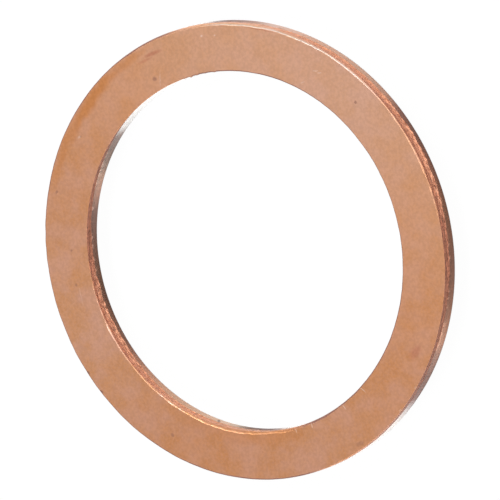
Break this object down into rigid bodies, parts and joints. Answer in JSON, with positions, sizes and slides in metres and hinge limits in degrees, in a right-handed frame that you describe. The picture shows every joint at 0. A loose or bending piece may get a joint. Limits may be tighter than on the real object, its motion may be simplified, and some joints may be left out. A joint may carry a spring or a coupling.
{
  "type": "sealing washer",
  "caption": "Flat copper sealing ring, stamped from sheet, crushed between two faces round a threaded plug or pipe union.",
  "frame": {"origin": "centre of the ring at its underside, the face with the rounded edges, on which it lies", "axes": "+Z along the ring's axis, up through the face with the burr; X and Y in the ring's plane, all alike"},
  "size_m": [0.038, 0.038, 0.002],
  "materials": {
    "annealed_copper": "satin, tumbled soft copper; burnished and torn bands on the cut edges"
  },
  "bodies": {
    "root": {"sealing_ring": "annealed_copper"}
  },
  "joints": []
}
